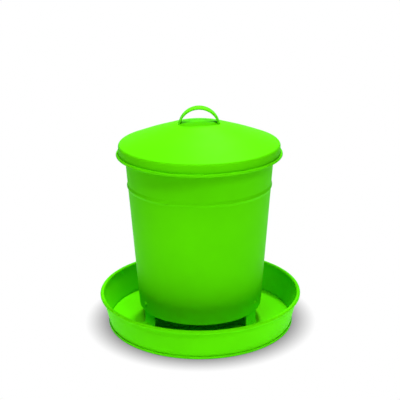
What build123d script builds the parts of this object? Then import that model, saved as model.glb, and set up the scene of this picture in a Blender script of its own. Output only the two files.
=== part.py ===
"""Sheet-metal poultry feeder: a round tray, a tapered hopper on three feet and a loose lid with a handle.

Millimetres, +Z up. The origin is on the ground, at the middle of the tray. The front is -Y.
Every sheet is drawn as the middle line of its section, in radius and height, and then given its
thickness, so that curls, hems and seams are folded as the real ones are.
"""

import os
from math import asin, atan2, cos, degrees, radians, sin, sqrt, tan

from build123d import *

# Sheet and clearances
SHEET = 0.8
FOLD_GAP = 0.1
SEAT_GAP = 0.1

# Tray
RIM_RADIUS = 200.0
RIM_HEIGHT = 64.0
RIM_CURL = 3.7
RIM_CURL_SWEEP = 305.0
TRAY_FLARE = 17.4
TRAY_FOOT_HEIGHT = 7.0
TRAY_FOOT_BEND = 10.0
TRAY_SHOULDER_BEND = 70.0
TRAY_SHOULDER_DROP = 9.5
TRAY_HEM_TOP = 4.4
FLOOR_TOP = 5.0
FLOOR_CORNER = 1.6

# Hopper
HOPPER_BOTTOM = 38.7
HOPPER_BOTTOM_RADIUS = 121.4
HOPPER_TAPER = 4.02
HOPPER_TOP = 367.7
HOPPER_CURL = 2.6
HOPPER_CURL_SWEEP = 290.0
HEM_HEIGHT = 6.0
SWAGE_HEIGHT = 284.5
SWAGE_WIDTH = 11.0
SWAGE_RISE = 2.0
SWAGE_BEND = 8.0
SEAM_ANGLE = 120.0
SEAM_WIDTH = 7.0
SEAM_THICKNESS = 1.8
SEAM_END_GAP = 1.5

# Lid
LID_SLOPE = 18.0
LID_EDGE_SLOPE = 21.0
LID_EDGE_RADIUS = 112.0
LID_EDGE_BEND = 400.0
LID_PEAK_BEND = 190.0
LID_SKIRT_RADIUS = 155.3
LID_SKIRT_DROP = 21.8
LID_SHOULDER_BEND = 5.0
LID_CURL = 2.65
LID_CURL_SWEEP = 305.0

# Handle
HANDLE_SHEET = 1.2
HANDLE_WIDTH = 26.0
HANDLE_FLANGE = 3.0
HANDLE_RISE = 26.5
HANDLE_BEND = 40.0
HANDLE_LEG_ANGLE = 22.0
TAB_WIDTH = 18.0
TAB_LENGTH = 9.0
TAB_BEND = 1.4
TAB_GAP = 0.5
SLOT_CLEARANCE = 0.2

# Feet, their heights counted from the bottom edge of the hopper
FOOT_SHEET = 1.5
FOOT_WIDTH = 40.0
FOOT_ANGLES = {"front_left": 210.0, "front_right": 330.0, "back": 90.0}
FOOT_TAB_TOP = 30.0
FOOT_TAB_BOTTOM = 9.5
FOOT_LEG_RADIUS = 116.5
FOOT_LEG_TOP = 1.5
FOOT_JOGGLE_BEND = 5.0
FOOT_TOE_BEND = 9.0
FOOT_TOE_LENGTH = 25.5
FOOT_CORNER = 4.0

# Rivets
RIVET_SHANK = 4.0
RIVET_HEAD = 8.4
RIVET_HEAD_HEIGHT = 2.2
RIVET_TAIL = 6.6
RIVET_TAIL_HEIGHT = 1.3
RIVET_CLEARANCE = 0.1
HOPPER_RIVET_HEIGHT = 18.3
TOE_RIVET_OUT = 15.5

# Directions along the hopper wall, upwards, and square to it, outwards
WALL_UP = Vector(sin(radians(HOPPER_TAPER)), cos(radians(HOPPER_TAPER)))
WALL_OUT = Vector(cos(radians(HOPPER_TAPER)), -sin(radians(HOPPER_TAPER)))
FOLD = SHEET + FOLD_GAP

# Share of a straight run that the bends at its ends may take up
BEND_SHARE = 0.98
FOLD_BEND = BEND_SHARE * FOLD / 2


def section(lines, thickness):
    """Give a middle line, drawn in radius and height, a thickness, and stand it up in the XZ plane."""
    return Plane.XZ * trace(lines, thickness)


def turned(lines, thickness):
    """Turn a sheet's section once round the axis of the feeder."""
    return revolve(section(lines, thickness), Axis.Z)


def on_wall(height, out=0.0):
    """Point on the middle line of the hopper wall at a height, moved square to the wall."""
    middle = HOPPER_BOTTOM_RADIUS - SHEET / 2 + (height - HOPPER_BOTTOM) * tan(radians(HOPPER_TAPER))
    return Vector(middle, height) + WALL_OUT * out


def tray_wall():
    """Flared side: a hem at its foot, a straight flare, a rounded shoulder and the curl of the rim."""
    curl = RIM_CURL - SHEET / 2
    curl_middle = Vector(RIM_RADIUS - RIM_CURL, RIM_HEIGHT - RIM_CURL)
    throat = curl_middle.X - curl
    foot = RIM_RADIUS - TRAY_FLARE
    hem_bottom = SHEET + SEAT_GAP + SHEET / 2
    shoulder = curl_middle.Y - TRAY_SHOULDER_DROP
    turn = atan2(abs(throat - foot), shoulder - TRAY_FOOT_HEIGHT)
    longest_bend = BEND_SHARE * TRAY_SHOULDER_DROP / tan(turn / 2)
    side = FilletPolyline(
        (foot + FOLD, TRAY_HEM_TOP),
        (foot + FOLD, hem_bottom),
        (foot, hem_bottom),
        (foot, TRAY_FOOT_HEIGHT),
        (throat, shoulder),
        (throat, curl_middle.Y),
        radius=[FOLD_BEND, FOLD_BEND, TRAY_FOOT_BEND, min(TRAY_SHOULDER_BEND, longest_bend)],
    )
    rim = CenterArc(curl_middle, curl, 180, -RIM_CURL_SWEEP)
    return turned(side + rim, SHEET)


def tray_floor():
    """Flat disc whose edge goes down inside the wall, under it, and is hooked over its hem outside."""
    foot = RIM_RADIUS - TRAY_FLARE
    inside = foot - SHEET - SEAT_GAP
    outside = foot + FOLD + SHEET + SEAT_GAP
    hook_end = foot + SHEET + SEAT_GAP
    hook_height = TRAY_HEM_TOP + SEAT_GAP + SHEET / 2
    disc = FilletPolyline(
        (0, FLOOR_TOP - SHEET / 2),
        (inside, FLOOR_TOP - SHEET / 2),
        (inside, SHEET / 2),
        (outside, SHEET / 2),
        (outside, hook_height),
        (hook_end, hook_height),
        radius=[FLOOR_CORNER, FOLD_BEND, FOLD_BEND, FOLD_BEND],
    )
    floor = turned(disc, SHEET)
    for angle in FOOT_ANGLES.values():
        floor -= toe_rivet_place(angle) * rivet_hole()
    return floor


def hopper_wall_line():
    """Hem folded inwards, tapered wall with its swage, and the curl that the lid sits on."""
    bottom = on_wall(HOPPER_BOTTOM + SHEET / 2)
    fold = bottom - WALL_OUT * FOLD
    swage = on_wall(SWAGE_HEIGHT)
    curl = HOPPER_CURL - SHEET / 2
    top = on_wall(HOPPER_TOP - HOPPER_CURL)
    wall = FilletPolyline(
        fold + WALL_UP * HEM_HEIGHT,
        fold,
        bottom,
        swage - WALL_UP * SWAGE_WIDTH / 2,
        swage + WALL_OUT * SWAGE_RISE,
        swage + WALL_UP * SWAGE_WIDTH / 2,
        top,
        radius=[FOLD_BEND, FOLD_BEND, SWAGE_BEND, SWAGE_BEND, SWAGE_BEND],
    )
    return wall + CenterArc(top + WALL_OUT * curl, curl, 180 - HOPPER_TAPER, -HOPPER_CURL_SWEEP)


def lock_seam():
    """Grooved seam that closes the sheet: a narrow band folded flat on the outside of the wall."""
    out = (SHEET + SEAM_THICKNESS) / 2
    swage = on_wall(SWAGE_HEIGHT, out)
    band = FilletPolyline(
        on_wall(HOPPER_BOTTOM + SEAM_END_GAP, out),
        swage - WALL_UP * SWAGE_WIDTH / 2,
        swage + WALL_OUT * SWAGE_RISE,
        swage + WALL_UP * SWAGE_WIDTH / 2,
        on_wall(HOPPER_TOP - 2 * HOPPER_CURL - SEAM_END_GAP, out),
        radius=SWAGE_BEND,
    )
    sweep = 2 * degrees(SEAM_WIDTH / HOPPER_BOTTOM_RADIUS)
    sector = Rot(Z=-sweep / 2) * revolve(section(band, SEAM_THICKNESS), Axis.Z, sweep)
    strip = Box(2 * RIM_RADIUS, SEAM_WIDTH, 2 * HOPPER_TOP, align=(Align.MIN, Align.CENTER, Align.MIN))
    return Rot(Z=SEAM_ANGLE) * (sector & strip)


def hopper_body():
    """The rolled hopper sheet with its seam and the holes for the foot rivets."""
    body = turned(hopper_wall_line(), SHEET) + lock_seam()
    for angle in FOOT_ANGLES.values():
        body -= hopper_rivet_place(angle) * rivet_hole()
    return body


def lid_corner():
    """Where the lid's cone turns steeper, on its middle line, when its edge sits on the hopper's curl."""
    edge = radians(LID_EDGE_SLOPE)
    seat = on_wall(HOPPER_TOP - HOPPER_CURL, HOPPER_CURL - SHEET / 2)
    reach = HOPPER_CURL + SEAT_GAP + SHEET / 2
    return Vector(LID_EDGE_RADIUS, seat.Y + (seat.X - LID_EDGE_RADIUS) * tan(edge) + reach / cos(edge))


def peak_middle():
    """Centre of the round peak, which runs on into the cone."""
    corner = lid_corner()
    sharp_peak = corner.Y + corner.X * tan(radians(LID_SLOPE))
    return Vector(0, sharp_peak - LID_PEAK_BEND / cos(radians(LID_SLOPE)))


def lid_peak(above=0.0):
    """Right half of the round peak, on the lid's middle line or square above it."""
    return CenterArc(peak_middle(), LID_PEAK_BEND + above, 90, -LID_SLOPE)


def lid_shell():
    """Low cone with a rounded peak and a steeper edge, a round shoulder, a skirt and an outer curl."""
    corner = lid_corner()
    peak = lid_peak()
    skirt = LID_SKIRT_RADIUS - SHEET / 2
    shoulder = corner.Y - (skirt - corner.X) * tan(radians(LID_EDGE_SLOPE))
    curl = LID_CURL - SHEET / 2
    skirt_end = shoulder - LID_SKIRT_DROP + LID_CURL
    cone = FilletPolyline(
        peak @ 1,
        corner,
        (skirt, shoulder),
        (skirt, skirt_end),
        radius=[LID_EDGE_BEND, LID_SHOULDER_BEND],
    )
    roll = CenterArc((skirt + curl, skirt_end), curl, 180, LID_CURL_SWEEP)
    return turned(peak + cone + roll, SHEET)


def lid():
    """Lid shell with the two slots that take the tabs of the handle."""
    leg = handle_leg()
    down = leg % 1
    slot_line = Line(leg @ 1 - down * 3 * SHEET, leg @ 1 + down * 3 * SHEET)
    slot_section = section(slot_line, HANDLE_SHEET + 2 * SLOT_CLEARANCE)
    slot = extrude(slot_section, TAB_WIDTH / 2 + SLOT_CLEARANCE, both=True)
    return lid_shell() - slot - mirror(slot, Plane.YZ)


def handle_bow(inwards=0.0):
    """Round part of the arch's right half, moved inwards from the strap's outer face."""
    top = peak_middle().Y + LID_PEAK_BEND + SHEET / 2 + HANDLE_RISE
    return CenterArc((0, top - HANDLE_BEND), HANDLE_BEND - inwards, 90, HANDLE_LEG_ANGLE - 90)


def handle_leg(inwards=HANDLE_SHEET / 2):
    """Straight leg of the right half, from the bow to the middle of the lid's sheet."""
    start = handle_bow() @ 1
    down = Vector(sin(radians(HANDLE_LEG_ANGLE)), -cos(radians(HANDLE_LEG_ANGLE)))
    from_middle = start - peak_middle()
    along = -down.dot(from_middle)
    length = along - sqrt(along**2 - from_middle.length**2 + LID_PEAK_BEND**2)
    moved = handle_bow(inwards) @ 1
    return Line(moved, moved + down * length)


def handle_arch(inwards=HANDLE_SHEET / 2):
    """Right half of the arch, moved inwards from the strap's outer face, down to the lid."""
    return handle_bow(inwards) + handle_leg(inwards)


def handle_tab():
    """Right tab: through the lid's slot, then bent outwards under the lid."""
    leg = handle_leg()
    foot_point = leg @ 1
    down = leg % 1
    slope = asin((foot_point.X + TAB_LENGTH / 2) / LID_PEAK_BEND)
    outwards = Vector(cos(slope), -sin(slope))
    under = (SHEET + HANDLE_SHEET) / 2 + TAB_GAP
    corner = foot_point + down * (under / cos(radians(HANDLE_LEG_ANGLE) - slope))
    line = FilletPolyline(foot_point - down * SHEET, corner, corner + outwards * TAB_LENGTH, radius=TAB_BEND)
    return extrude(section(line, HANDLE_SHEET), TAB_WIDTH / 2, both=True)


def under_lid():
    """All that lies under the lid's top face, with the clearance that the strap stands off it."""
    peak = lid_peak(SHEET / 2 + SEAT_GAP)
    side = Polyline(peak @ 1, ((peak @ 1).X, 0), (0, 0), peak @ 0)
    return revolve(Plane.XZ * make_face(peak + side), Axis.Z)


def lid_handle():
    """Arched strap with its long edges turned down, standing on the lid on two clinched tabs."""
    web = extrude(section(handle_arch(), HANDLE_SHEET), HANDLE_WIDTH / 2, both=True)
    flange = extrude(section(handle_arch(HANDLE_FLANGE / 2), HANDLE_FLANGE), HANDLE_SHEET / 2, both=True)
    flange_place = (HANDLE_WIDTH - HANDLE_SHEET) / 2
    strap = web + Pos(Y=flange_place) * flange + Pos(Y=-flange_place) * flange
    half = strap - under_lid() + handle_tab()
    return half + mirror(half, Plane.YZ)


def foot(angle):
    """Bent strip: a tab inside the hopper wall, a straight leg and a toe that lies on the tray."""
    tab = -(SHEET + FOOT_SHEET) / 2 - SEAT_GAP
    tab_top = HOPPER_BOTTOM + FOOT_TAB_TOP
    leg = FOOT_LEG_RADIUS - FOOT_SHEET / 2
    toe = FLOOR_TOP + FOOT_SHEET / 2
    toe_end = FOOT_LEG_RADIUS + FOOT_TOE_LENGTH
    line = FilletPolyline(
        on_wall(tab_top, tab),
        on_wall(HOPPER_BOTTOM + FOOT_TAB_BOTTOM, tab),
        (leg, HOPPER_BOTTOM + FOOT_LEG_TOP),
        (leg, toe),
        (toe_end, toe),
        radius=[FOOT_JOGGLE_BEND, FOOT_JOGGLE_BEND, FOOT_TOE_BEND],
    )
    sweep = 2.4 * degrees(FOOT_WIDTH / FOOT_LEG_RADIUS)
    strip = Rot(Z=-sweep / 2) * revolve(section(line, FOOT_SHEET), Axis.Z, sweep)
    blank = Pos(Z=FLOOR_TOP) * Box(
        toe_end, FOOT_WIDTH, tab_top - FLOOR_TOP, align=(Align.MIN, Align.CENTER, Align.MIN)
    )
    blank = fillet(blank.edges().filter_by(Axis.Z).group_by(Axis.X)[-1], FOOT_CORNER)
    blank = fillet(blank.edges().filter_by(Axis.X).group_by(Axis.Z)[-1], FOOT_CORNER)
    bracket = Rot(Z=angle) * (strip & blank)
    bracket -= hopper_rivet_place(angle) * rivet_hole()
    return bracket - toe_rivet_place(angle) * rivet_hole()


def hopper_rivet_place(angle):
    """Where a hopper rivet's head meets the outside of the wall, its axis square to the wall."""
    seat = on_wall(HOPPER_BOTTOM + HOPPER_RIVET_HEIGHT, SHEET / 2)
    return Rot(Z=angle) * Pos(seat.X, 0, seat.Y) * Rot(Y=90 + HOPPER_TAPER)


def toe_rivet_place(angle):
    """Where a toe rivet's head meets the top of the toe."""
    return Rot(Z=angle) * Pos(FOOT_LEG_RADIUS + TOE_RIVET_OUT, 0, FLOOR_TOP + FOOT_SHEET)


def rivet_hole():
    """Hole for a rivet's shank, long enough for every stack of sheets."""
    return Cylinder(RIVET_SHANK / 2 + RIVET_CLEARANCE, 4 * (SHEET + FOOT_SHEET))


def rivet(grip):
    """Rivet along Z: a domed head above the seat, a shank through the grip and a flat tail below."""
    head_sphere = (RIVET_HEAD**2 / 4 + RIVET_HEAD_HEIGHT**2) / (2 * RIVET_HEAD_HEIGHT)
    head_angle = degrees(atan2(RIVET_HEAD / 2, head_sphere - RIVET_HEAD_HEIGHT))
    dome = CenterArc((0, RIVET_HEAD_HEIGHT - head_sphere), head_sphere, 90, -head_angle)
    rest = Polyline(
        dome @ 1,
        (RIVET_SHANK / 2, 0),
        (RIVET_SHANK / 2, -grip),
        (RIVET_TAIL / 2, -grip),
        (RIVET_TAIL / 2, -grip - RIVET_TAIL_HEIGHT),
        (0, -grip - RIVET_TAIL_HEIGHT),
        dome @ 0,
    )
    return revolve(Plane.XZ * make_face(dome + rest), Axis.Z)


def write(name, shape):
    """Write one node and print what it measures."""
    box = shape.bounding_box()
    print(f"{name}: {len(shape.solids())} solid, {shape.volume / 1000:.1f} cm3, top {box.max.Z:.1f} mm")
    export_step(shape, f"parts/{name}.step")


os.makedirs("parts", exist_ok=True)
write("tray_wall", tray_wall())
write("tray_floor", tray_floor())
write("hopper_body", hopper_body())
write("lid", lid())
write("lid_handle", lid_handle())
for side, side_angle in FOOT_ANGLES.items():
    write(f"foot_{side}", foot(side_angle))
    hopper_grip = SHEET + SEAT_GAP + FOOT_SHEET + RIVET_CLEARANCE
    write(f"hopper_rivet_{side}", hopper_rivet_place(side_angle) * rivet(hopper_grip))
    write(f"tray_rivet_{side}", toe_rivet_place(side_angle) * rivet(FOOT_SHEET + SHEET))
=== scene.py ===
"""Looks of a sheet-metal poultry feeder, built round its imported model.

Metres, +Z up. The origin is on the ground under the middle of the tray, and the front is -Y.
Each sheet starts as a line in the XZ plane, drawn along the middle of its thickness. The line is bent and
curled, turned round the axis or drawn out along Y, and then given its thickness.
"""

from math import asin, ceil, cos, pi, radians, sin, sqrt, tan

import bmesh
import bpy
from mathutils import Matrix, Vector


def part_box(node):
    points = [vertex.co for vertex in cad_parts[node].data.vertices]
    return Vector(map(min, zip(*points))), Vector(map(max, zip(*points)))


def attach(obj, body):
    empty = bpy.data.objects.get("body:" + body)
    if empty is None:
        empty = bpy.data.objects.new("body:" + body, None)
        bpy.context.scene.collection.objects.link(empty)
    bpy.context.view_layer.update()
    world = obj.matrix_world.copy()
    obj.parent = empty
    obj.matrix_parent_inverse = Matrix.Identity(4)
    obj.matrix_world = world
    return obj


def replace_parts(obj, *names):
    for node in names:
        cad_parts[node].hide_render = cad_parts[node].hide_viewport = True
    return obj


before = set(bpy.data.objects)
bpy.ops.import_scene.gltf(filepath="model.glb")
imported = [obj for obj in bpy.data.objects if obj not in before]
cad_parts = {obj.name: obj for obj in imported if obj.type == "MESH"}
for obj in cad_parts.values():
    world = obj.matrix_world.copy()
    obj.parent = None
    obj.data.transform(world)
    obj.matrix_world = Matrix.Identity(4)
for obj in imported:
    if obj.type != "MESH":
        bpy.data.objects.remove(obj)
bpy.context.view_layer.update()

MM = 0.001

# How finely round shapes are divided, and how near points are joined
ROUND_STEPS = 288
BEND_STEP = radians(9)
HANDLE_ARCH_STEPS = 20
HANDLE_EDGE_STEPS = 4
ROUNDED_EDGE_STEPS = 3
ROUND_MERGE = 0.001 * MM
HANDLE_MERGE = 0.01 * MM

# Edges that turn by more than this are rounded
SHARP_ANGLE = radians(50)

# Sheets, with a bend of just under half a fold, so that the two bends of a fold don't meet
SHEET = 0.8 * MM
SEAT_GAP = 0.1 * MM
FOLD = SHEET + SEAT_GAP
FOLD_BEND = 0.49 * FOLD

# Tray
RIM_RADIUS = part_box("tray_wall")[1].x
RIM_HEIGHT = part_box("tray_wall")[1].z
RIM_CURL = 3.7 * MM
RIM_CURL_SWEEP = radians(305)
TRAY_FLARE = 17.4 * MM
TRAY_FOOT_RADIUS = RIM_RADIUS - TRAY_FLARE
TRAY_FOOT_HEIGHT = 7 * MM
TRAY_FOOT_BEND = 10 * MM
TRAY_SHOULDER_BEND = 70 * MM
TRAY_SHOULDER_DROP = 9.5 * MM
TRAY_HEM_TOP = 4.4 * MM
FLOOR_TOP = 5 * MM
FLOOR_CORNER = 1.6 * MM

# Hopper
HOPPER_BOTTOM = 38.7 * MM
HOPPER_TOP = 367.7 * MM
HOPPER_BOTTOM_RADIUS = 121.4 * MM
HOPPER_TAPER = radians(4.02)
HOPPER_CURL = 2.6 * MM
HOPPER_CURL_SWEEP = radians(290)
HEM_HEIGHT = 6 * MM
SWAGE_HEIGHT = 284.5 * MM
SWAGE_WIDTH = 11 * MM
SWAGE_RISE = 2 * MM
SWAGE_BEND = 3 * MM
SEAM_ANGLE = radians(120)
SEAM_WIDTH = 7 * MM
SEAM_THICKNESS = 1.8 * MM
SEAM_EDGE = 0.7 * MM
SEAM_END_GAP = 1.5 * MM

# Directions along the hopper wall, upwards, and square to it, outwards
WALL_UP = Vector((sin(HOPPER_TAPER), 0, cos(HOPPER_TAPER)))
WALL_OUT = Vector((cos(HOPPER_TAPER), 0, -sin(HOPPER_TAPER)))

# Lid
LID_SLOPE = radians(18)
LID_EDGE_SLOPE = radians(21)
LID_EDGE_RADIUS = 112 * MM
LID_EDGE_BEND = 400 * MM
LID_PEAK_BEND = 190 * MM
LID_SKIRT_RADIUS = 155.3 * MM
LID_SKIRT_DROP = 21.8 * MM
LID_SHOULDER_BEND = 5 * MM
LID_CURL = 2.65 * MM
LID_CURL_SWEEP = radians(305)

# Handle
HANDLE_SHEET = 1.2 * MM
HANDLE_WIDTH = 26 * MM
HANDLE_FLANGE = 3 * MM
HANDLE_EDGE_BEND = 1.4 * MM
HANDLE_ROUNDING = 0.3 * HANDLE_SHEET
HANDLE_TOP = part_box("lid_handle")[1].z
HANDLE_BEND = 40 * MM
HANDLE_LEG_ANGLE = radians(22)
TAB_WIDTH = 18 * MM
TAB_LENGTH = 9 * MM
TAB_BEND = 1.4 * MM
TAB_GAP = 0.5 * MM

# Paint
PAINT_TONES = [(0.094, 0.68, 0.001, 1), (0.102, 0.72, 0.001, 1)]
PAINT_TONE_PLACES = [0.3, 0.7]
PAINT_SMOOTHEST = 0.42
PAINT_ROUGHEST = 0.54
PAINT_GLOSS = 0.008
PAINT_GLOSS_TINT = (0.55, 1.0, 0.1, 1)
DENT_DEPTH = 1.2 * MM
PEEL_DEPTH = 0.1 * MM

# White ground, and a painted shadow on it: the ground is darkened where the object is near, not shaded by
# the lamps
WHITE = (1, 1, 1, 1)
GROUND_COLOUR = (0.8, 0.8, 0.8, 1)
GROUND_RADIUS = 40
GROUND_SIDES = 96
SHADOW_REACH = 0.05
SHADOW_DEPTH = 1.35
SHADOW_SAMPLES = 32
SHADOW_FADE_START = 0.3
SHADOW_FADE_END = 0.6

# Lamps
LAMP_TARGET = Vector((0, 0, 0.2))
GLOW_PLACE = Vector((0, 0, MM))
STRAIGHT_UP = Vector((0, 0, 1))
SKY_STRENGTH = 0.04

# Camera, with its lens and film in millimetres, and its turns in radians
CAMERA_PLACE = Vector((0, -1.7643, 0.8362))
CAMERA_PITCH = 0.3212
CAMERA_ROLL = -0.0070
CAMERA_YAW = -0.0004
LENS = 85.8
FILM_WIDTH = 36


def joined_points(mesh, points):
    """Line of straight runs through points, added to the mesh. Gives its corners."""
    corners = [mesh.verts.new(point) for point in points]
    for start, end in zip(corners, corners[1:]):
        mesh.edges.new((start, end))
    return corners


def round_corner(mesh, corner, reach, steps):
    """Round a corner of a line, starting that reach away from it on both sides."""
    bmesh.ops.bevel(
        mesh,
        geom=[corner],
        offset=reach,
        offset_type="OFFSET",
        segments=steps,
        profile=0.5,
        affect="VERTICES",
        material=-1,
    )


def bent_line(points, bends):
    """Line through points in the XZ plane, its inner corners rounded. Gives the mesh and its two ends."""
    mesh = bmesh.new()
    corners = joined_points(mesh, [(point[0], 0, point[-1]) for point in points])
    places = [corner.co.copy() for corner in corners]
    for index, bend in enumerate(bends, start=1):
        before = places[index] - places[index - 1]
        after = places[index + 1] - places[index]
        turn = before.angle(after)
        round_corner(mesh, corners[index], bend * tan(turn / 2), ceil(turn / BEND_STEP) + 1)
    return mesh, corners[0], corners[-1]


def curl(mesh, end, middle, sweep):
    """Roll the line on from its end round a middle; a positive sweep goes clockwise seen from the front."""
    steps = ceil(abs(sweep) / BEND_STEP)
    bmesh.ops.spin(mesh, geom=[end], cent=middle, axis=(0, 1, 0), angle=sweep, steps=steps)


def turn_round(mesh):
    """Turn the line once round the axis of the feeder and close it."""
    bmesh.ops.spin(
        mesh,
        geom=mesh.verts[:] + mesh.edges[:],
        cent=(0, 0, 0),
        axis=(0, 0, 1),
        angle=2 * pi,
        steps=ROUND_STEPS,
        use_merge=True,
    )
    bmesh.ops.remove_doubles(mesh, verts=mesh.verts[:], dist=ROUND_MERGE)
    bmesh.ops.recalc_face_normals(mesh, faces=mesh.faces[:])


def draw_out(mesh, width):
    """Draw a line out along Y into a strip of that width, in the middle of the XZ plane."""
    bmesh.ops.translate(mesh, verts=mesh.verts[:], vec=(0, -width / 2, 0))
    drawn = bmesh.ops.extrude_edge_only(mesh, edges=mesh.edges[:])
    moved = [item for item in drawn["geom"] if isinstance(item, bmesh.types.BMVert)]
    bmesh.ops.translate(mesh, verts=moved, vec=(0, width, 0))
    bmesh.ops.recalc_face_normals(mesh, faces=mesh.faces[:])


def new_object(name, data):
    """Object in the scene, at the origin."""
    made = bpy.data.objects.new(name, data)
    bpy.context.scene.collection.objects.link(made)
    return made


def mesh_object(name, mesh):
    """Object in the scene with that mesh, which is then freed."""
    data = bpy.data.meshes.new(name)
    mesh.to_mesh(data)
    mesh.free()
    return new_object(name, data)


def new_piece(name, mesh, finish, thickness):
    """Make an object of the mesh, smooth, with its sheet's thickness and its paint."""
    for face in mesh.faces:
        face.smooth = True
    piece = mesh_object(name, mesh)
    wall = piece.modifiers.new("sheet", "SOLIDIFY")
    wall.thickness = thickness
    wall.offset = 0
    wall.use_even_offset = True
    piece.modifiers.new("flat_runs", "WEIGHTED_NORMAL").keep_sharp = True
    piece.data.materials.append(finish)
    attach(piece, "root")
    return piece


def round_edges(piece, size):
    """Round the sharp edges that the sheet's thickness leaves."""
    edges = piece.modifiers.new("rounded_edges", "BEVEL")
    edges.width = size
    edges.segments = ROUNDED_EDGE_STEPS
    edges.limit_method = "ANGLE"
    edges.angle_limit = SHARP_ANGLE


def tray_wall(finish):
    """Flared side of the tray, from the hem in its bottom seam to the curl of its rim."""
    curl_radius = RIM_CURL - SHEET / 2
    curl_middle = Vector((RIM_RADIUS - RIM_CURL, 0, RIM_HEIGHT - RIM_CURL))
    throat = curl_middle.x - curl_radius
    hem_bottom = SHEET + SEAT_GAP + SHEET / 2
    mesh, _, end = bent_line(
        [
            (TRAY_FOOT_RADIUS + FOLD, TRAY_HEM_TOP),
            (TRAY_FOOT_RADIUS + FOLD, hem_bottom),
            (TRAY_FOOT_RADIUS, hem_bottom),
            (TRAY_FOOT_RADIUS, TRAY_FOOT_HEIGHT),
            (throat, curl_middle.z - TRAY_SHOULDER_DROP),
            (throat, curl_middle.z),
        ],
        [FOLD_BEND, FOLD_BEND, TRAY_FOOT_BEND, TRAY_SHOULDER_BEND],
    )
    curl(mesh, end, curl_middle, RIM_CURL_SWEEP)
    turn_round(mesh)
    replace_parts(new_piece("tray_wall_sheet", mesh, finish, SHEET), "tray_wall")


def tray_floor(finish):
    """Disc of the tray, its edge folded under the wall and hooked over the wall's hem."""
    inside = TRAY_FOOT_RADIUS - SHEET - SEAT_GAP
    outside = TRAY_FOOT_RADIUS + FOLD + SHEET + SEAT_GAP
    hook_height = TRAY_HEM_TOP + SEAT_GAP + SHEET / 2
    mesh, _, _ = bent_line(
        [
            (0, FLOOR_TOP - SHEET / 2),
            (inside, FLOOR_TOP - SHEET / 2),
            (inside, SHEET / 2),
            (outside, SHEET / 2),
            (outside, hook_height),
            (TRAY_FOOT_RADIUS + SHEET + SEAT_GAP, hook_height),
        ],
        [FLOOR_CORNER, FOLD_BEND, FOLD_BEND, FOLD_BEND],
    )
    turn_round(mesh)
    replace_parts(new_piece("tray_floor_sheet", mesh, finish, SHEET), "tray_floor")


def on_wall(height, out=0.0):
    """Point on the middle line of the hopper wall at a height, moved square to the wall."""
    middle = HOPPER_BOTTOM_RADIUS - SHEET / 2 + (height - HOPPER_BOTTOM) * tan(HOPPER_TAPER)
    return Vector((middle, 0, height)) + WALL_OUT * out


def swage_points(out=0.0):
    """The three corners of the rolled rib below the lid."""
    middle = on_wall(SWAGE_HEIGHT, out)
    half = WALL_UP * SWAGE_WIDTH / 2
    return [middle - half, middle + WALL_OUT * SWAGE_RISE, middle + half]


def hopper(finish):
    """Tapered hopper wall with its hem, rib and top curl."""
    bottom = on_wall(HOPPER_BOTTOM + SHEET / 2)
    fold = bottom - WALL_OUT * FOLD
    top = on_wall(HOPPER_TOP - HOPPER_CURL)
    mesh, _, end = bent_line(
        [fold + WALL_UP * HEM_HEIGHT, fold, bottom, *swage_points(), top],
        [FOLD_BEND, FOLD_BEND, SWAGE_BEND, SWAGE_BEND, SWAGE_BEND],
    )
    curl(mesh, end, top + WALL_OUT * (HOPPER_CURL - SHEET / 2), HOPPER_CURL_SWEEP)
    turn_round(mesh)
    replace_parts(new_piece("hopper_sheet", mesh, finish, SHEET), "hopper_body")


def hopper_seam(finish):
    """Lock seam folded flat up the back of the hopper and over the rib, its inner edges sunk in the wall."""
    out = (SHEET + SEAM_THICKNESS) / 2 - SEAM_EDGE / 2
    mesh, _, _ = bent_line(
        [
            on_wall(HOPPER_BOTTOM + SEAM_END_GAP, out),
            *swage_points(out),
            on_wall(HOPPER_TOP - 2 * HOPPER_CURL - SEAM_END_GAP, out),
        ],
        [SWAGE_BEND, SWAGE_BEND, SWAGE_BEND],
    )
    draw_out(mesh, SEAM_WIDTH)
    bmesh.ops.rotate(mesh, verts=mesh.verts[:], cent=(0, 0, 0), matrix=Matrix.Rotation(SEAM_ANGLE, 3, "Z"))
    round_edges(new_piece("hopper_lock_seam", mesh, finish, SEAM_THICKNESS), SEAM_EDGE)


def lid_corner():
    """Where the lid's cone turns steeper, with its edge sitting on the hopper's curl."""
    seat = on_wall(HOPPER_TOP - HOPPER_CURL, HOPPER_CURL - SHEET / 2)
    reach = HOPPER_CURL + SEAT_GAP + SHEET / 2
    drop = (seat.x - LID_EDGE_RADIUS) * tan(LID_EDGE_SLOPE)
    return Vector((LID_EDGE_RADIUS, 0, seat.z + drop + reach / cos(LID_EDGE_SLOPE)))


def peak_middle():
    """Middle of the round peak, which runs on into the cone."""
    corner = lid_corner()
    sharp_peak = corner.z + corner.x * tan(LID_SLOPE)
    return Vector((0, 0, sharp_peak - LID_PEAK_BEND / cos(LID_SLOPE)))


def lid(finish):
    """Round peak, cone, steeper edge, round shoulder, skirt and outer curl, pressed from one sheet."""
    corner = lid_corner()
    skirt = LID_SKIRT_RADIUS - SHEET / 2
    shoulder = corner.z - (skirt - corner.x) * tan(LID_EDGE_SLOPE)
    skirt_end = shoulder - LID_SKIRT_DROP + LID_CURL
    middle = peak_middle()
    peak_edge = middle + Vector((sin(LID_SLOPE), 0, cos(LID_SLOPE))) * LID_PEAK_BEND
    mesh, start, end = bent_line(
        [peak_edge, corner, (skirt, shoulder), (skirt, skirt_end)],
        [LID_EDGE_BEND, LID_SHOULDER_BEND],
    )
    curl(mesh, start, middle, -LID_SLOPE)
    curl_radius = LID_CURL - SHEET / 2
    curl(mesh, end, (skirt + curl_radius, 0, skirt_end), -LID_CURL_SWEEP)
    turn_round(mesh)
    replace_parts(new_piece("lid_sheet", mesh, finish, SHEET), "lid")


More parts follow.
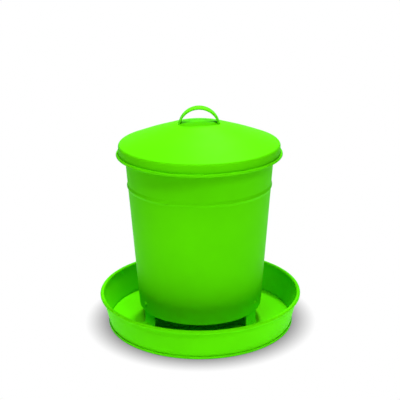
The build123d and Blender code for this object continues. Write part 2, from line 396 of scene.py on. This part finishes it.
def strap_section():
    """Line across the strap at the top of its arch, both ends turned down."""
    half = HANDLE_WIDTH / 2 - HANDLE_SHEET / 2
    deep = HANDLE_FLANGE - HANDLE_SHEET / 2
    top = HANDLE_TOP - HANDLE_SHEET / 2
    mesh = bmesh.new()
    points = [(0, -half, top - deep), (0, -half, top), (0, half, top), (0, half, top - deep)]
    for corner in joined_points(mesh, points)[1:3]:
        round_corner(mesh, corner, HANDLE_EDGE_BEND, HANDLE_EDGE_STEPS)
    return mesh


def handle(finish):
    """Arched strap with its edges turned down, and the two tabs clinched under the lid."""
    mesh = strap_section()
    spun = bmesh.ops.spin(
        mesh,
        geom=mesh.verts[:] + mesh.edges[:],
        cent=(0, 0, HANDLE_TOP - HANDLE_BEND),
        axis=(0, 1, 0),
        angle=pi / 2 - HANDLE_LEG_ANGLE,
        steps=HANDLE_ARCH_STEPS,
    )
    down = Vector((sin(HANDLE_LEG_ANGLE), 0, -cos(HANDLE_LEG_ANGLE)))
    edges = [item for item in spun["geom_last"] if isinstance(item, bmesh.types.BMEdge)]
    drawn = bmesh.ops.extrude_edge_only(mesh, edges=edges)
    ends = [item for item in drawn["geom"] if isinstance(item, bmesh.types.BMVert)]
    # The leg goes straight on until every point of its end meets the lid's round peak
    lid_middle = peak_middle()
    for end in ends:
        from_middle = end.co - lid_middle
        along = -down.dot(from_middle)
        end.co += down * (along - sqrt(along**2 - from_middle.length_squared + LID_PEAK_BEND**2))
    foot_x = max(end.co.x for end in ends)
    whole = mesh.verts[:] + mesh.edges[:] + mesh.faces[:]
    bmesh.ops.mirror(mesh, geom=whole, axis="X", merge_dist=HANDLE_MERGE)
    bmesh.ops.remove_doubles(mesh, verts=mesh.verts[:], dist=HANDLE_MERGE)
    bmesh.ops.recalc_face_normals(mesh, faces=mesh.faces[:])
    strap = new_piece("lid_handle_strap", mesh, finish, HANDLE_SHEET)
    round_edges(strap, HANDLE_ROUNDING)
    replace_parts(strap, "lid_handle")
    handle_tabs(finish, foot_x, down)


def handle_tabs(finish, foot_x, down):
    """The strap's two tabs, through the lid's slots and bent outwards under the lid."""
    middle = peak_middle()
    foot_point = Vector((foot_x, 0, middle.z + sqrt(LID_PEAK_BEND**2 - foot_x**2)))
    slope = asin((foot_x + TAB_LENGTH / 2) / LID_PEAK_BEND)
    outwards = Vector((cos(slope), 0, -sin(slope)))
    under = (SHEET + HANDLE_SHEET) / 2 + TAB_GAP
    corner = foot_point + down * (under / cos(HANDLE_LEG_ANGLE - slope))
    points = [foot_point - down * SHEET, corner, corner + outwards * TAB_LENGTH]
    for name, side in [("right", 1), ("left", -1)]:
        mesh, _, _ = bent_line(points, [TAB_BEND])
        draw_out(mesh, TAB_WIDTH)
        bmesh.ops.scale(mesh, vec=(side, 1, 1), verts=mesh.verts[:])
        bmesh.ops.recalc_face_normals(mesh, faces=mesh.faces[:])
        round_edges(new_piece(f"lid_handle_tab_{name}", mesh, finish, HANDLE_SHEET), HANDLE_ROUNDING)


def paint():
    """Yellow-green stove paint with a faint gloss: a fine orange-peel skin over slightly uneven sheet."""
    material = bpy.data.materials.new("green_stove_paint")
    material.use_nodes = True
    nodes = material.node_tree.nodes
    link = material.node_tree.links.new
    shader = nodes["Principled BSDF"]
    place = nodes.new("ShaderNodeTexCoord")

    def noise(scale, detail):
        """Noise that lies still on the object."""
        node = nodes.new("ShaderNodeTexNoise")
        node.inputs["Scale"].default_value = scale
        node.inputs["Detail"].default_value = detail
        link(place.outputs["Object"], node.inputs["Vector"])
        return node.outputs["Fac"]

    def bump(height, strength, depth):
        """Bump of that height pattern and depth."""
        node = nodes.new("ShaderNodeBump")
        node.inputs["Strength"].default_value = strength
        node.inputs["Distance"].default_value = depth
        link(height, node.inputs["Height"])
        return node

    tone = nodes.new("ShaderNodeValToRGB")
    for stop, position, colour in zip(tone.color_ramp.elements, PAINT_TONE_PLACES, PAINT_TONES):
        stop.position = position
        stop.color = colour
    link(noise(scale=9, detail=3), tone.inputs["Fac"])
    link(tone.outputs["Color"], shader.inputs["Base Color"])

    gloss = nodes.new("ShaderNodeMapRange")
    gloss.inputs["To Min"].default_value = PAINT_SMOOTHEST
    gloss.inputs["To Max"].default_value = PAINT_ROUGHEST
    link(noise(scale=60, detail=4), gloss.inputs["Value"])
    link(gloss.outputs["Result"], shader.inputs["Roughness"])

    dents = bump(noise(scale=14, detail=2), strength=0.35, depth=DENT_DEPTH)
    peel = bump(noise(scale=620, detail=2), strength=0.12, depth=PEEL_DEPTH)
    link(dents.outputs["Normal"], peel.inputs["Normal"])
    link(peel.outputs["Normal"], shader.inputs["Normal"])

    shader.inputs["Specular IOR Level"].default_value = PAINT_GLOSS
    shader.inputs["Specular Tint"].default_value = PAINT_GLOSS_TINT
    return material


def empty_tree(owner):
    """Clear the nodes of a material or a sky. Gives them and the call that links two sockets."""
    owner.use_nodes = True
    owner.node_tree.nodes.clear()
    return owner.node_tree.nodes, owner.node_tree.links.new


def seen_rays(nodes, link):
    """One for rays that look at the surroundings straight, in a gloss or through glass, and else nought."""
    rays = nodes.new("ShaderNodeLightPath")
    seen = rays.outputs["Is Camera Ray"]
    for kind in ["Is Glossy Ray", "Is Transmission Ray"]:
        either = nodes.new("ShaderNodeMath")
        either.operation = "MAXIMUM"
        link(seen, either.inputs[0])
        link(rays.outputs[kind], either.inputs[1])
        seen = either.outputs["Value"]
    return seen


def mixed(nodes, link, share, first, second):
    """Shader that goes from the first to the second as the share goes from nought to one."""
    mix = nodes.new("ShaderNodeMixShader")
    link(share, mix.inputs["Fac"])
    link(first, mix.inputs[1])
    link(second, mix.inputs[2])
    return mix.outputs["Shader"]


def ground_finish():
    """Pale ground that the camera sees as white with a painted shadow, darker where the object is near, and
    as plain white further off.
    """
    material = bpy.data.materials.new("white_ground")
    nodes, link = empty_tree(material)
    output = nodes.new("ShaderNodeOutputMaterial")
    plain = nodes.new("ShaderNodeBsdfDiffuse")
    plain.inputs["Color"].default_value = GROUND_COLOUR
    # Painted shadow: the ground's glow to the camera is darkened by how near the object is, not by the lamps
    near = nodes.new("ShaderNodeAmbientOcclusion")
    near.samples = SHADOW_SAMPLES
    near.inputs["Distance"].default_value = SHADOW_REACH
    depth = nodes.new("ShaderNodeMath")
    depth.operation = "POWER"
    depth.inputs[1].default_value = SHADOW_DEPTH
    link(near.outputs["AO"], depth.inputs[0])
    painted_shadow = nodes.new("ShaderNodeEmission")
    link(depth.outputs["Value"], painted_shadow.inputs["Color"])
    white = nodes.new("ShaderNodeEmission")
    place = nodes.new("ShaderNodeTexCoord")
    away = nodes.new("ShaderNodeVectorMath")
    away.operation = "LENGTH"
    link(place.outputs["Object"], away.inputs[0])
    fade = nodes.new("ShaderNodeMapRange")
    fade.inputs["From Min"].default_value = SHADOW_FADE_START
    fade.inputs["From Max"].default_value = SHADOW_FADE_END
    link(away.outputs["Value"], fade.inputs["Value"])
    shown = mixed(nodes, link, fade.outputs["Result"], painted_shadow.outputs["Emission"], white.outputs["Emission"])
    picked = mixed(nodes, link, seen_rays(nodes, link), plain.outputs["BSDF"], shown)
    link(picked, output.inputs["Surface"])
    return material


def floor():
    """White ground under the object."""
    mesh = bmesh.new()
    bmesh.ops.create_circle(mesh, cap_ends=True, segments=GROUND_SIDES, radius=GROUND_RADIUS)
    ground = mesh_object("floor", mesh)
    ground.data.materials.append(ground_finish())


def area_lamp(name, shape, size, power, place, faces):
    """Soft lamp at a place, shining the way it faces."""
    data = bpy.data.lights.new(name, "AREA")
    data.shape = shape
    data.size = size
    data.energy = power
    lamp = new_object(name, data)
    lamp.location = place
    lamp.rotation_euler = faces.to_track_quat("-Z", "Y").to_euler()
    lamp.visible_camera = False


def aimed_lamp(name, azimuth, elevation, distance, size, power):
    """Square lamp aimed at the object. Azimuth 0 is in front and 90 at the right, in degrees."""
    turn, rise = radians(azimuth), radians(elevation)
    back = Vector((sin(turn) * cos(rise), -cos(turn) * cos(rise), sin(rise)))
    area_lamp(name, "SQUARE", size, power, LAMP_TARGET + back * distance, -back)


def lights():
    """A lamp high behind, two soft ones in front and a glow from the ground."""
    aimed_lamp("lamp_behind", azimuth=168, elevation=55, distance=2.4, size=0.4, power=52)
    aimed_lamp("lamp_above", azimuth=-30, elevation=68, distance=1.6, size=0.7, power=16)
    aimed_lamp("lamp_front_right", azimuth=28, elevation=46, distance=2.4, size=0.7, power=19)
    area_lamp("ground_glow", "DISK", size=1.6, power=5.5, place=GLOW_PLACE, faces=STRAIGHT_UP)


def sky():
    """Faint even light from all round, seen as plain white."""
    world = bpy.data.worlds.new("sky")
    bpy.context.scene.world = world
    nodes, link = empty_tree(world)
    output = nodes.new("ShaderNodeOutputWorld")
    faint = nodes.new("ShaderNodeBackground")
    faint.inputs["Color"].default_value = WHITE
    faint.inputs["Strength"].default_value = SKY_STRENGTH
    white = nodes.new("ShaderNodeBackground")
    white.inputs["Color"].default_value = WHITE
    rays = seen_rays(nodes, link)
    picked = mixed(nodes, link, rays, faint.outputs["Background"], white.outputs["Background"])
    link(picked, output.inputs["Surface"])


def camera():
    """Camera at the photograph's place, lens and tilt."""
    data = bpy.data.cameras.new("camera")
    data.sensor_width = FILM_WIDTH
    data.lens = LENS
    view = new_object("camera", data)
    yaw = Matrix.Rotation(CAMERA_YAW, 4, "Z")
    pitch = Matrix.Rotation(pi / 2 - CAMERA_PITCH, 4, "X")
    roll = Matrix.Rotation(CAMERA_ROLL, 4, "Z")
    view.matrix_world = Matrix.Translation(CAMERA_PLACE) @ (yaw @ pitch @ roll)
    bpy.context.scene.camera = view


green = paint()
for make in [tray_wall, tray_floor, hopper, hopper_seam, lid, handle]:
    make(green)
for name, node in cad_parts.items():
    if name.startswith(("foot_", "hopper_rivet_", "tray_rivet_")):
        node.data.materials.clear()
        node.data.materials.append(green)
floor()
lights()
sky()
camera()
bpy.context.scene.view_settings.view_transform = "Standard"
